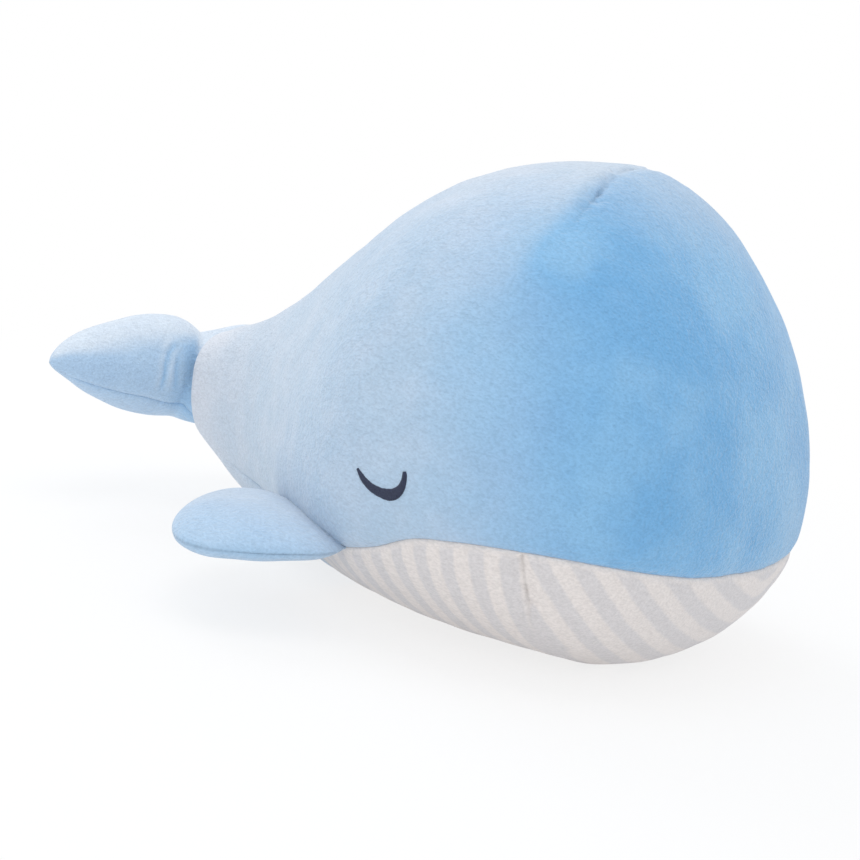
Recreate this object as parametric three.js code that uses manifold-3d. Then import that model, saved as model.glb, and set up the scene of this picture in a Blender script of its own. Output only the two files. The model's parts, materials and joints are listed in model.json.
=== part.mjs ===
// A plush whale, lying on its belly: a stuffed body sewn from a blue upper cover, a striped belly panel and a
// blue rear underside, two stuffed flippers sewn in at the side seams, and a stuffed tail sewn in at the rear.
// Millimetres, +X towards the head, +Y to the whale's left, +Z up. Places along the body are measured from the
// rim that the tail comes out of, and heights from the floor.
import * as THREE from "three";
import { mergeVertices } from "three/addons/utils/BufferGeometryUtils.js";
import Module from "manifold-3d";

const wasm = await Module();
wasm.setup();

// The body.
const bodyLength = 388;
const bodyHalfWidth = 144;
const widestFromRim = 240;
const bodyTopHeight = 165;
const topFromRim = 284;
const bodyBottomDepth = 89;
const bellyFlatFromRim = 214;
const bellyFlatLength = 102;
const rimHalfWidth = 25;
const rimTopHeight = 30;
const rimBottomDepth = 43;
const restCutDepth = 1.2;

// How each outline of the body leaves the rim, swells, and rounds off at the nose.
const sideShares = { leave: 1.7, swell: 2.5, nose: 2.6 };
const topShares = { leave: 2.33, swell: 2.18, nose: 1.71 };
const bottomShares = { leave: 3.8, swell: 1.1, nose: 2.1 };
const upperRoundnessShare = 2;
const lowerRoundnessShare = 2.3;

// Fabric and clearances.
const fabricThickness = 2.4;
const gap = 0.3;
const runningGap = 0.6;
const overrun = 20;

// The seam between the upper cover and the panels below it, at places along the body.
const seamFromRim = [0, 40, 90, 150, 200, 231, 255, 275, 300, 340, 372, 388];
const seamHeights = [56, 36.5, 32, 40.5, 42.5, 42, 49.5, 59, 64, 66.5, 64, 59.5];
const bellyPanelFromRim = 175;

// The closed eyes: a stitched arc on each side, thickest in its middle.
const eyeFromRim = 258.2;
const eyeHeight = 89;
const eyeLength = 27.6;
const eyeFrontRise = 6.9;
const eyeLean = 10.6;
const eyeDepth = 23.6;
const eyeStroke = 4.2;
const eyeStrokeEnd = 1;
const eyeThread = 0.8;

// The flippers, measured outwards from the root line, which runs along the side seam.
const flipperRootRear = 150;
const flipperRootFront = 231;
const flipperRootHeight = 42.5;
const flipperReach = 78.5;
const flipperHalfChord = 61;
const flipperWidestOut = 17;
const flipperRootHalfChord = 50;
const flipperRearSet = 5;
const flipperTipSweep = 28;
const flipperThickestOut = 30;
const flipperHalfThickness = 12;
const flipperRootHalfThickness = 5;
const flipperDrop = THREE.MathUtils.degToRad(3.4);
const flipperFlap = [-15, 0, 20].map(THREE.MathUtils.degToRad);
const flipperTipShare = 1.8;
const flipperSweepShare = 2.5;

// The tail: a round root that turns in the rim, and two fat lobes hinged on it.
const tailHingeBehindRim = 8;
const tailRootRadius = 33;
const tailRootHalfWidth = 20;
const tailSwing = [-10, -5, 0, 5, 10].map(THREE.MathUtils.degToRad);
const tailBend = THREE.MathUtils.degToRad(15);
const lobesBehindRim = 36;
const lobesAboveHinge = 2.7;
const lobesHalfSpan = 110;
const lobeHalfChord = 32;
const lobeHalfThickness = 32;
const lobeTipSweep = 4;
const lobesPitch = THREE.MathUtils.degToRad(30);
const lobeShares = { middle: 2.6, tip: 0.75 };

// Facets.
const bodyRings = 8;
const bodySides = 24;
const flipperRings = 7;
const flipperSides = 12;
const lobeRings = 10;
const lobeSides = 12;
const rootSides = 16;
const eyeSteps = 6;
const seamSteps = 29;

const blue = { color: 0x9cc4e4, roughness: 0.95 };
const striped = { color: 0xd6d6d8, roughness: 0.95 };
const darkThread = { color: 0x23304a, roughness: 0.6 };
const fibre = { color: 0xf4f2ec, roughness: 1 };

const equator = bodyBottomDepth - restCutDepth;
const power = (value, exponent) => Math.sign(value) * Math.abs(value) ** exponent;
const clamp = THREE.MathUtils.clamp;
const upright = new THREE.Vector3(0, 0, 1);
const crosswise = new THREE.Vector3(0, 1, 0);

function solidOf(geometry) {
  const bare = geometry.clone();
  bare.deleteAttribute("normal");
  bare.deleteAttribute("uv");
  const merged = mergeVertices(bare);
  const vertProperties = new Float32Array(merged.attributes.position.array);
  const triVerts = new Uint32Array(merged.index.array);
  return new wasm.Manifold(new wasm.Mesh({ numProp: 3, vertProperties, triVerts }));
}

function geometryOf(solid) {
  const mesh = solid.getMesh();
  const geometry = new THREE.BufferGeometry();
  geometry.setAttribute("position", new THREE.BufferAttribute(new Float32Array(mesh.vertProperties), 3));
  geometry.setIndex(new THREE.BufferAttribute(new Uint32Array(mesh.triVerts), 1));
  return geometry;
}

// A closed skin through rings of points, each end closed on the middle of its ring. Faces with four corners are
// split one way on the whale's left and the other way on its right, so the two sides match.
function loft(rings) {
  const count = rings[0].length;
  const points = rings.flat();
  const middleOf = (ring) => ring.reduce((sum, p) => sum.add(p), new THREE.Vector3()).divideScalar(count);
  const first = points.push(middleOf(rings[0])) - 1;
  const last = points.push(middleOf(rings.at(-1))) - 1;
  const faces = [];
  for (let j = 0; j < count; j++) {
    const k = (j + 1) % count;
    for (let start = 0; start < (rings.length - 1) * count; start += count) {
      const [a, b, c, d] = [start + j, start + k, start + k + count, start + j + count];
      const onLeft = points[a].y + points[c].y > 0;
      faces.push(...(onLeft ? [a, b, c, a, c, d] : [a, b, d, b, c, d]));
    }
    const end = (rings.length - 1) * count;
    faces.push(first, k, j);
    faces.push(last, end + j, end + k);
  }
  const geometry = new THREE.BufferGeometry().setFromPoints(points);
  geometry.setIndex(faces);
  return geometry;
}

// One outline of the body: from the rim to its fullest place, then round to the nose.
function outline(x, atRim, full, fullFromRim, flat, length, shares) {
  if (x < fullFromRim) {
    const left = 1 - clamp(x / fullFromRim, 0, 1);
    return atRim + (full - atRim) * (1 - left ** shares.leave) ** shares.swell;
  }
  const along = clamp((x - fullFromRim - flat) / (length - fullFromRim - flat), 0, 1);
  return full * (1 - along ** shares.nose) ** (1 / shares.nose);
}

function bodyRing(x, inset, length) {
  const width = outline(
    x, rimHalfWidth - inset, bodyHalfWidth - inset, widestFromRim, 0, length, sideShares,
  );
  const above = outline(x, rimTopHeight - inset, bodyTopHeight - inset, topFromRim, 0, length, topShares);
  const below = outline(
    x, rimBottomDepth - inset, bodyBottomDepth - inset, bellyFlatFromRim, bellyFlatLength, length, bottomShares,
  );
  const ring = [];
  for (let j = 0; j < bodySides; j++) {
    const turn = (2 * Math.PI * (j + 0.5)) / bodySides;
    const raised = Math.sin(turn) > 0;
    const bend = 2 / (raised ? upperRoundnessShare : lowerRoundnessShare);
    const rise = (raised ? above : below) * power(Math.sin(turn), bend);
    ring.push(new THREE.Vector3(x, width * power(Math.cos(turn), bend), equator + rise));
  }
  return ring;
}

// The body's skin drawn in by inset, run out behind the rim by rimOverrun. Rings lie closer at the nose.
function bodyForm(inset, rimOverrun = 0) {
  const length = bodyLength - inset;
  const rings = rimOverrun > 0 ? [bodyRing(-rimOverrun, inset, length)] : [];
  for (let i = 0; i < bodyRings; i++) {
    rings.push(bodyRing((widestFromRim * i) / bodyRings, inset, length));
  }
  const noseSteps = 2 * bodyRings;
  for (let i = 0; i < noseSteps; i += i < bodyRings ? 2 : 1) {
    const along = Math.sin((Math.PI * i) / (2 * noseSteps));
    rings.push(bodyRing(widestFromRim + (length - widestFromRim) * along, inset, length));
  }
  return loft(rings);
}

// A block across the whole body, from its outline in side view.
function acrossBody(points) {
  const depth = 2 * (bodyHalfWidth + overrun);
  const geometry = new THREE.ExtrudeGeometry(new THREE.Shape(points), { depth, bevelEnabled: false });
  geometry.rotateX(Math.PI / 2);
  geometry.translate(0, depth / 2, 0);
  return solidOf(geometry);
}

const seamCurve = new THREE.SplineCurve(seamFromRim.map((x, i) => new THREE.Vector2(x, seamHeights[i])));
const seamPoints = seamCurve.getPoints(seamSteps);

// All that lies under the side seam, which is shifted by offset.
function underSeam(offset) {
  const [first, last] = [seamPoints[0], seamPoints.at(-1)];
  const points = seamPoints.map((p) => new THREE.Vector2(p.x, p.y + offset));
  points.push(new THREE.Vector2(last.x + overrun, last.y + offset));
  points.push(new THREE.Vector2(last.x + overrun, -overrun));
  points.push(new THREE.Vector2(first.x - overrun, -overrun));
  points.push(new THREE.Vector2(first.x - overrun, first.y + offset));
  return acrossBody(points);
}

// All that lies in front of a place along the body.
function inFrontOf(x) {
  const [end, top] = [bodyLength + overrun, bodyBottomDepth + bodyTopHeight + overrun];
  const corners = [[x, -overrun], [end, -overrun], [end, top], [x, top]];
  return acrossBody(corners.map(([along, up]) => new THREE.Vector2(along, up)));
}

function belowFloor() {
  const [rear, front] = [-overrun, bodyLength + overrun];
  const corners = [[rear, -overrun], [front, -overrun], [front, 0], [rear, 0]];
  return acrossBody(corners.map(([along, up]) => new THREE.Vector2(along, up)));
}

const turnAbout = (axis, angle) => new THREE.Quaternion().setFromAxisAngle(axis, angle);

// A solid in each of the places that turning it about a pivot takes it to.
function turned(geometry, pivot, turns) {
  return turns.map((turn) => {
    const moved = geometry.clone();
    moved.translate(-pivot.x, -pivot.y, -pivot.z);
    moved.applyQuaternion(turn);
    moved.translate(pivot.x, pivot.y, pivot.z);
    return solidOf(moved);
  });
}

const without = (solid, cutters) => cutters.reduce((left, cutter) => left.subtract(cutter), solid);

// The tail's root is round about the cross line that the lobes hinge on, and its hinges meet in the middle of
// the rim. The hollow for it in the lobes is wider by what its facets need to turn.
const tailHinge = new THREE.Vector3(-tailHingeBehindRim, 0, equator + (rimTopHeight - rimBottomDepth) / 2);

const facetShare = 1 / Math.cos(Math.PI / rootSides);

function rootForm(growth, share = 1) {
  const geometry = new THREE.SphereGeometry(1, rootSides, rootSides / 2);
  const radius = (tailRootRadius + growth) * share;
  geometry.scale(radius, (tailRootHalfWidth + growth) * share, radius);
  geometry.translate(tailHinge.x, tailHinge.y, tailHinge.z);
  return geometry;
}

// Both lobes of the tail, lofted from tip to tip. Their chord is pitched, so the rear edge stands up.
function lobesForm(inset) {
  const back = new THREE.Vector3(-Math.cos(lobesPitch), 0, Math.sin(lobesPitch));
  const up = new THREE.Vector3(Math.sin(lobesPitch), 0, Math.cos(lobesPitch));
  const rings = [];
  for (let i = 0; i <= lobeRings; i++) {
    const side = -Math.cos((Math.PI * i) / lobeRings);
    const size = (1 - Math.abs(side) ** lobeShares.middle) ** lobeShares.tip;
    const chord = Math.max(lobeHalfChord * size - inset, gap);
    const thick = Math.max(lobeHalfThickness * size - inset, gap);
    const middle = new THREE.Vector3(
      -lobesBehindRim + lobeTipSweep * side * side,
      (lobesHalfSpan - inset) * side,
      tailHinge.z + lobesAboveHinge,
    );
    const ring = [];
    for (let j = 0; j < lobeSides; j++) {
      const turn = (2 * Math.PI * j) / lobeSides;
      const point = middle.clone().addScaledVector(back, chord * Math.cos(turn));
      ring.push(point.addScaledVector(up, thick * Math.sin(turn)));
    }
    rings.push(ring);
  }
  return loft(rings);
}

// A large block on the far side of a plane through a point, shifted along the plane's normal by offset.
function blockAbove(point, normal, offset) {
  const size = 2 * (bodyLength + bodyHalfWidth);
  const geometry = new THREE.BoxGeometry(size, size, size);
  geometry.translate(0, 0, size / 2);
  const stand = new THREE.Quaternion().setFromUnitVectors(upright, normal);
  geometry.applyQuaternion(stand);
  const foot = point.clone().addScaledVector(normal, offset);
  geometry.translate(foot.x, foot.y, foot.z);
  return solidOf(geometry);
}

// The right flipper's own directions: along the root to the front, outwards, and up.
function rootPoint(x) {
  const ring = bodyRing(x, 0, bodyLength).filter((p) => p.y < 0);
  ring.sort((a, b) => a.z - b.z);
  const next = ring.findIndex((p) => p.z > flipperRootHeight);
  const [low, high] = [ring[next - 1], ring[next]];
  return low.clone().lerp(high, (flipperRootHeight - low.z) / (high.z - low.z));
}

const [rootRear, rootFront] = [rootPoint(flipperRootRear), rootPoint(flipperRootFront)];
const rootMiddle = rootRear.clone().lerp(rootFront, 0.5);
const alongRoot = rootFront.clone().sub(rootRear).normalize();
const outwards = new THREE.Vector3(alongRoot.y, -alongRoot.x, -Math.tan(flipperDrop)).normalize();
const offRoot = new THREE.Vector3().crossVectors(outwards, alongRoot);

function flipperForm(inset, rootOverrun = 0) {
  const reach = flipperReach - inset;
  const outs = [-rootOverrun];
  for (let i = 0; i <= flipperRings; i++) outs.push(reach * Math.sin((Math.PI * i) / (2 * flipperRings)));
  const rings = outs.map((out) => {
    const inner = clamp(1 - out / flipperWidestOut, 0, 1);
    const outer = clamp((out - flipperWidestOut) / (reach - flipperWidestOut), 0, 1);
    const rounding = (1 - outer ** flipperTipShare) ** (1 / flipperTipShare);
    const chord = flipperHalfChord * rounding - (flipperHalfChord - flipperRootHalfChord) * inner * inner;
    const swell = Math.sin((Math.PI / 2) * clamp(out / flipperThickestOut, 0, 1));
    const thinning = clamp((out - flipperThickestOut) / (reach - flipperThickestOut), 0, 1);
    const fullness = flipperRootHalfThickness + (flipperHalfThickness - flipperRootHalfThickness) * swell;
    const thick = fullness * Math.sqrt(1 - thinning ** 2);
    const sweep = flipperTipSweep * clamp(out / flipperReach, 0, 1) ** flipperSweepShare;
    const middle = rootMiddle.clone().addScaledVector(outwards, out);
    middle.addScaledVector(alongRoot, sweep - flipperRearSet);
    const ring = [];
    for (let j = 0; j < flipperSides; j++) {
      const turn = (2 * Math.PI * j) / flipperSides;
      const point = middle.clone().addScaledVector(alongRoot, Math.max(chord - inset, gap) * Math.cos(turn));
      ring.push(point.addScaledVector(offRoot, Math.max(thick - inset, gap) * Math.sin(turn)));
    }
    return ring;
  });
  return loft(rings);
}

// The eye's arc in side view, and the layer of thread that it takes up on the cover.
function eyeStrokeOutline() {
  const half = eyeLength / 2;
  const rearEnd = new THREE.Vector2(eyeFromRim - half, eyeHeight - eyeFrontRise / 2);
  const frontEnd = new THREE.Vector2(eyeFromRim + half, eyeHeight + eyeFrontRise / 2);
  const pull = new THREE.Vector2(eyeFromRim + eyeLean, eyeHeight - eyeDepth);
  const arc = new THREE.QuadraticBezierCurve(rearEnd, pull, frontEnd);
  const [lower, upper] = [[], []];
  for (let i = 0; i <= eyeSteps; i++) {
    const share = i / eyeSteps;
    const tangent = arc.getTangent(share);
    const normal = new THREE.Vector2(-tangent.y, tangent.x);
    const half = (eyeStrokeEnd + (eyeStroke - eyeStrokeEnd) * Math.sin(Math.PI * share)) / 2;
    lower.push(arc.getPoint(share).addScaledVector(normal, -half));
    upper.push(arc.getPoint(share).addScaledVector(normal, half));
  }
  return [...lower, ...upper.reverse()];
}

function mirrored(geometry) {
  const copy = geometry.clone();
  copy.scale(1, -1, 1);
  const index = copy.index.array;
  for (let i = 0; i < index.length; i += 3) [index[i], index[i + 1]] = [index[i + 1], index[i]];
  return copy;
}

const pieces = [];

function addPiece(name, solid, finish) {
  const material = new THREE.MeshStandardMaterial({ ...finish, metalness: 0 });
  const mesh = new THREE.Mesh(geometryOf(solid), material);
  mesh.name = name;
  pieces.push(mesh);
}

// The body: its covers are open at the rim, where the tail's root turns in them and in the filling.
function makeBody() {
  const floor = belowFloor();
  const swings = tailSwing.map((angle) => turnAbout(upright, angle));
  const socket = turned(rootForm(runningGap), tailHinge, swings);
  const skin = without(solidOf(bodyForm(0)), [floor, solidOf(bodyForm(fabricThickness, overrun)), ...socket]);
  addPiece("upper_cover", skin.subtract(underSeam(gap / 2)), blue);
  const under = skin.intersect(underSeam(-gap / 2));
  addPiece("belly_panel", under.intersect(inFrontOf(bellyPanelFromRim + gap / 2)), striped);
  addPiece("rear_underside_panel", under.subtract(inFrontOf(bellyPanelFromRim - gap / 2)), blue);
  addPiece("body_filling", without(solidOf(bodyForm(fabricThickness + gap)), socket), fibre);
}

function makeEyes() {
  const stroke = acrossBody(eyeStrokeOutline());
  const layer = solidOf(bodyForm(-gap - eyeThread)).subtract(solidOf(bodyForm(-gap)));
  const arcs = stroke.intersect(layer);
  const leftSide = blockAbove(new THREE.Vector3(), crosswise, 0);
  addPiece("right_eye_embroidery", arcs.subtract(leftSide), darkThread);
  addPiece("left_eye_embroidery", arcs.intersect(leftSide), darkThread);
}

function makeFlippers() {
  const flaps = flipperFlap.map((angle) => turnAbout(alongRoot, angle));
  const cutters = turned(bodyForm(-runningGap), rootMiddle, flaps);
  const above = blockAbove(rootMiddle, offRoot, gap / 2);
  const below = blockAbove(rootMiddle, offRoot.clone().negate(), gap / 2);
  const skin = solidOf(flipperForm(0)).subtract(solidOf(flipperForm(fabricThickness, overrun)));
  const solids = {
    upper_panel: [without(skin, cutters).intersect(above), blue],
    lower_panel: [without(skin, cutters).intersect(below), blue],
    filling: [without(solidOf(flipperForm(fabricThickness + gap)), cutters), fibre],
  };
  for (const [name, [solid, finish]] of Object.entries(solids)) {
    addPiece(`right_flipper_${name}`, solid, finish);
    addPiece(`left_flipper_${name}`, solidOf(mirrored(geometryOf(solid))), finish);
  }
}

function makeTail() {
  const hidden = inFrontOf(0);
  const rootSkin = solidOf(rootForm(0)).subtract(solidOf(rootForm(-fabricThickness)));
  addPiece("tail_root_cover", rootSkin.subtract(hidden), blue);
  addPiece("tail_root_filling", solidOf(rootForm(-fabricThickness - gap)), fibre);
  const swings = [tailSwing[0], 0, tailSwing.at(-1)].map((angle) => turnAbout(upright, angle));
  const raised = swings.map((swing) => turnAbout(crosswise, -tailBend).multiply(swing));
  const cutters = turned(bodyForm(-runningGap), tailHinge, raised);
  cutters.push(solidOf(rootForm(gap, facetShare)));
  const up = new THREE.Vector3(Math.sin(lobesPitch), 0, Math.cos(lobesPitch));
  const middle = new THREE.Vector3(-lobesBehindRim, 0, tailHinge.z + lobesAboveHinge);
  const skin = without(solidOf(lobesForm(0)), [solidOf(lobesForm(fabricThickness)), ...cutters]);
  addPiece("flukes_upper_panel", skin.intersect(blockAbove(middle, up, gap / 2)), blue);
  addPiece("flukes_lower_panel", skin.intersect(blockAbove(middle, up.clone().negate(), gap / 2)), blue);
  addPiece("flukes_filling", without(solidOf(lobesForm(fabricThickness + gap)), cutters), fibre);
}

makeBody();
makeEyes();
makeFlippers();
makeTail();

// The whale lies with the middle of its length over the origin.
const whale = new THREE.Group();
whale.name = "plush_whale";
whale.add(...pieces);
const box = new THREE.Box3().setFromObject(whale);
whale.position.x = -(box.min.x + box.max.x) / 2;

export default whale;
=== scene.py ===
import json
import math

import bpy
import numpy as np
from mathutils import Matrix, Vector
from mathutils.bvhtree import BVHTree
from mathutils.kdtree import KDTree


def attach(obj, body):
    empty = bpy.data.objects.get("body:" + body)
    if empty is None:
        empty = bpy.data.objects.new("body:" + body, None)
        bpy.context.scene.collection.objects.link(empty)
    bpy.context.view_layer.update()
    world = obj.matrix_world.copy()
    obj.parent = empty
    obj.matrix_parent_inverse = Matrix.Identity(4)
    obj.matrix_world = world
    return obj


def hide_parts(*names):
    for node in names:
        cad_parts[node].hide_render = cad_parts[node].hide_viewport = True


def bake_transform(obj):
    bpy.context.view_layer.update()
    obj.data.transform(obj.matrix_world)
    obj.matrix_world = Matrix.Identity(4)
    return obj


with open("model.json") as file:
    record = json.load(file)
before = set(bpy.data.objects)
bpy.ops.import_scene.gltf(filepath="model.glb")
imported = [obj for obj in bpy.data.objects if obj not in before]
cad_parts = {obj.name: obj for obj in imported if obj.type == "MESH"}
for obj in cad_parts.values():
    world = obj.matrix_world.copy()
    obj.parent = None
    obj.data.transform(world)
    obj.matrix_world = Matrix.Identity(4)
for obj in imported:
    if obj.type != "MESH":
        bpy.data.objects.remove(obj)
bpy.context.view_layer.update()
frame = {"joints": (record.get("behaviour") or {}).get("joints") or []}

# The stuffed body. Short blue plush wraps the back, head and sides in one piece, striped plush lies under
# the head and blue plush under the rear. They are sewn edge to edge and stuffed hard, so the cloth rolls into
# each seam. A dart on the head and one on each side of the belly take in its fullness.
MM = 0.001
joint_named = {joint["name"]: joint for joint in frame["joints"]}
tail_pivot = Vector(joint_named["tail_swing"]["pos_m"])
rim_x = tail_pivot.x + 8 * MM
rim_middle_z = tail_pivot.z
body_length = 388 * MM
widest = 240 * MM
equator = 87.8 * MM
side_line = dict(rim=25 * MM, full=144 * MM, at=widest, flat=0, leave=1.7, swell=2.5, nose=2.6)
top_line = dict(rim=30 * MM, full=165 * MM, at=284 * MM, flat=0, leave=2.33, swell=2.18, nose=1.71)
bottom_line = dict(rim=43 * MM, full=89 * MM, at=214 * MM, flat=102 * MM, leave=3.8, swell=1.1, nose=2.1)
upper_bend, lower_bend = 1, 2 / 2.3
lip = 4.5 * MM
lip_turn = 2.3
rim_sag, sag_length = 5 * MM, 22 * MM
cloth, limb_cloth = 2.4 * MM, 1.8 * MM
floor_at = 1.2
pressure, swell_kept = 4, 0.6
side_seam_deep, cross_seam_deep, seam_width = 3 * MM, 2.2 * MM, 8 * MM
dart_deep, dart_width = 4 * MM, 10 * MM
floor_round = 0.6 * MM
swell_frames = 20
pile_lay = (0.7, 0.9, 1.2)
crease_shade_depth = 0.25
seam_along = np.array([0, 40, 90, 150, 200, 231, 255, 275, 300, 340, 372, 388]) * MM
seam_up = np.array([56, 36.5, 32, 40.5, 42.5, 42, 49.5, 59, 64, 66.5, 64, 59.5]) * MM
belly_from = 175 * MM


def smooth_step(value, low, high):
    t = np.clip((value - low) / (high - low), 0, 1)
    return t * t * (3 - 2 * t)


def faded(value, low, high):
    return 1 - smooth_step(value, low, high)


def seam_height(x):
    """The side seam's height at a place along the body, on a smooth line through its marks."""
    slope = np.gradient(seam_up, seam_along)
    i = np.clip(np.searchsorted(seam_along, x) - 1, 0, len(seam_along) - 2)
    step = seam_along[i + 1] - seam_along[i]
    t = np.clip((x - seam_along[i]) / step, 0, 1)
    rise = (2 * t**3 - 3 * t**2 + 1) * seam_up[i] + (3 * t**2 - 2 * t**3) * seam_up[i + 1]
    return rise + step * ((t**3 - 2 * t**2 + t) * slope[i] + (t**3 - t**2) * slope[i + 1])


def outline(x, line, inset=0):
    """One outline of the body at places along it, from the rim to its fullest place, then to the nose."""
    rim, full = line["rim"] - inset, line["full"] - inset
    left = 1 - np.clip(x / line["at"], 0, 1)
    rear = rim + (full - rim) * (1 - left ** line["leave"]) ** line["swell"]
    begin = line["at"] + line["flat"]
    along = np.clip((x - begin) / (body_length - inset - begin), 0, 1)
    front = full * (1 - along ** line["nose"]) ** (1 / line["nose"])
    return np.where(x < line["at"], rear, front)


def on_body(places, inset=0):
    """Points of the body's skin. A place holds how far along it lies and its direction round the body."""
    along, across, upward = places.T
    size = np.hypot(across, upward)
    across, upward = across / size, upward / size
    fold = np.clip((lip - along) / lip, 0, lip_turn)
    x = np.where(fold > 0, lip - lip * np.sin(fold), along)
    drawn = lip * (1 - np.cos(fold))
    width = outline(x, side_line, inset) - drawn
    above = outline(x, top_line, inset) - drawn - rim_sag * faded(along, 0, sag_length)
    below = outline(x, bottom_line, inset) - drawn
    bend = np.where(upward > 0, upper_bend, lower_bend)
    height = np.where(upward > 0, above, below)
    y = width * np.sign(across) * np.abs(across) ** bend
    z = equator + height * np.sign(upward) * np.abs(upward) ** bend
    return np.stack([x + rim_x, y, z], axis=1)


def ring_turns(count):
    return 2 * math.pi * np.arange(count) / count


def rings(steps, turns):
    """Places in rings. Each holds its step and its direction round the form."""
    return np.array([(step, math.cos(t), math.sin(t)) for step in steps for t in turns])


def sheet_of(rows, columns, first_closed, last_closed):
    """Faces between rings of places, each ring closed on itself, and the ends closed on single places."""
    faces = []
    j = np.arange(columns)
    k = (j + 1) % columns
    for row in range(rows - 1):
        a, b = row * columns + j, row * columns + k
        c, d = b + columns, a + columns
        faces.append(np.stack([a, b, c, a, c, d], axis=1).reshape(-1, 3))
    count = rows * columns
    if first_closed:
        faces.append(np.stack([np.full(columns, count), k, j], axis=1))
        count += 1
    if last_closed:
        end = (rows - 1) * columns
        faces.append(np.stack([np.full(columns, count), end + j, end + k], axis=1))
    return np.concatenate(faces)


def sides_of(faces):
    return np.concatenate([faces[:, [0, 1]], faces[:, [1, 2]], faces[:, [2, 0]]])


def cut_edges(places, faces, choose):
    """Puts a new place on each edge that choose gives a share for, and splits the faces along them."""
    edges, where = np.unique(np.sort(sides_of(faces), axis=1), axis=0, return_inverse=True)
    where = where.reshape(3, -1)
    share = choose(edges, where)
    cut = share > 0
    number = np.full(len(edges), -1)
    number[cut] = len(places) + np.arange(cut.sum())
    a, b = places[edges[cut, 0]], places[edges[cut, 1]]
    places = np.vstack([places, a + (b - a) * share[cut, None]])
    middles = number[where]
    count = (middles >= 0).sum(axis=0)
    new = [faces[count == 0]]
    p, q, r = middles[:, count == 3]
    a, b, c = faces[count == 3].T
    new += [np.c_[a, p, r], np.c_[p, b, q], np.c_[r, q, c], np.c_[p, q, r]]
    for turn in range(3):
        corners, mids = np.roll(faces, -turn, axis=1), np.roll(middles, -turn, axis=0)
        one = (count == 1) & (mids[0] >= 0)
        a, b, c = corners[one].T
        new += [np.c_[a, mids[0][one], c], np.c_[mids[0][one], b, c]]
        two = (count == 2) & (mids[0] >= 0) & (mids[1] >= 0)
        a, b, c = corners[two].T
        new += [np.c_[mids[0][two], b, mids[1][two]], np.c_[a, mids[0][two], mids[1][two]]]
        new += [np.c_[a, mids[1][two], c]]
    return places, np.concatenate(new)


def finer(places, faces, near):
    """Halves the edges of the faces whose corners are marked, so that a seam there has a clean line."""

    def choose(edges, where):
        share = np.zeros(len(edges))
        share[where[:, near[faces].any(axis=1)].ravel()] = 0.5
        return share

    return cut_edges(places, faces, choose)


def parted(places, faces, measure, snap=0.25):
    """Cuts the faces where measure is nought. Places that lie close to the cut are moved onto it first."""
    values = measure(places)

    def choose(edges, where=None):
        low, high = values[edges[:, 0]], values[edges[:, 1]]
        crossing = low * high < 0
        return np.where(crossing, low / np.where(crossing, low - high, 1), 0)

    edges = np.unique(np.sort(sides_of(faces), axis=1), axis=0)
    edges = edges[choose(edges) > 0]
    share = choose(edges)
    places = places.copy()
    on_line = places[edges[:, 0]] + (places[edges[:, 1]] - places[edges[:, 0]]) * share[:, None]
    for end, close in ((0, share < snap), (1, share > 1 - snap)):
        places[edges[close, end]] = on_line[close]
        values[edges[close, end]] = 0
    known = len(places)
    places, faces = cut_edges(places, faces, choose)
    values = np.concatenate([values, np.zeros(len(places) - known)])
    return places, faces, values[faces].sum(axis=1) > 0


def normals_of(points, faces):
    a, b, c = (points[faces[:, k]] for k in range(3))
    flat = np.cross(b - a, c - a)
    total = np.zeros_like(points)
    for k in range(3):
        for axis in range(3):
            total[:, axis] += np.bincount(faces[:, k], flat[:, axis], len(points))
    return total / np.maximum(np.linalg.norm(total, axis=1, keepdims=True), 1e-12)


def lumps(points, size, seed):
    """Soft uneven swelling of stuffed cloth, about from -1 to 1, with hollows about size apart."""
    draw = np.random.default_rng(seed)
    total = np.zeros(len(points))
    for _ in range(9):
        way = draw.normal(size=3)
        way *= draw.uniform(0.7, 1.4) * 2 * math.pi / size / np.linalg.norm(way)
        total += np.sin(points @ way + draw.uniform(0, 2 * math.pi))
    return total / 4


def to_line(points, line):
    """How far each point lies from a line through marks, and how far along the line, from 0 to 1."""
    line = np.asarray(line)
    lengths = np.linalg.norm(np.diff(line, axis=0), axis=1)
    starts = np.concatenate([[0], np.cumsum(lengths)])
    best, along = np.full(len(points), 1e9), np.zeros(len(points))
    for i, length in enumerate(lengths):
        way = (line[i + 1] - line[i]) / length
        t = np.clip((points - line[i]) @ way, 0, length)
        off = np.linalg.norm(points - line[i] - t[:, None] * way, axis=1)
        closer = off < best
        best[closer], along[closer] = off[closer], (starts[i] + t[closer]) / starts[-1]
    return best, along


def rolled(distance, width):
    """The depth share of a sewn edge: on each side the cloth rolls down into the seam over this width."""
    left = np.clip(1 - distance / width, 0, 1)
    return 1 - np.sqrt(1 - 0.97 * left**2)


def tree_of(points):
    tree = KDTree(len(points))
    for i, point in enumerate(points):
        tree.insert(point, i)
    tree.balance()
    return tree


def distance_to(marks, points):
    """How far each point lies from the nearest of the marks."""
    tree = tree_of(marks)
    return np.array([tree.find(point)[2] for point in points])


def carried(points, sources, moves, count, softness):
    """The moves of the sources nearest to each point, the nearer ones weighing more."""
    tree = tree_of(sources)
    moved = np.zeros_like(points)
    for i, point in enumerate(points):
        near = tree.find_n(point, count)
        weights = np.array([1 / (distance + softness) ** 2 for _, _, distance in near])
        moved[i] = weights @ moves[[index for _, index, _ in near]] / weights.sum()
    return moved


def placed(name, data):
    """A new object of the scene from its mesh, lamp or lens."""
    made = bpy.data.objects.new(name, data)
    bpy.context.collection.objects.link(made)
    return made


def mesh_of(name, points, faces, smooth=True):
    mesh = bpy.data.meshes.new(name)
    mesh.from_pydata(points.tolist(), [], faces.tolist())
    if smooth:
        mesh.polygons.foreach_set("use_smooth", np.ones(len(mesh.polygons), bool))
    return mesh


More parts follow.
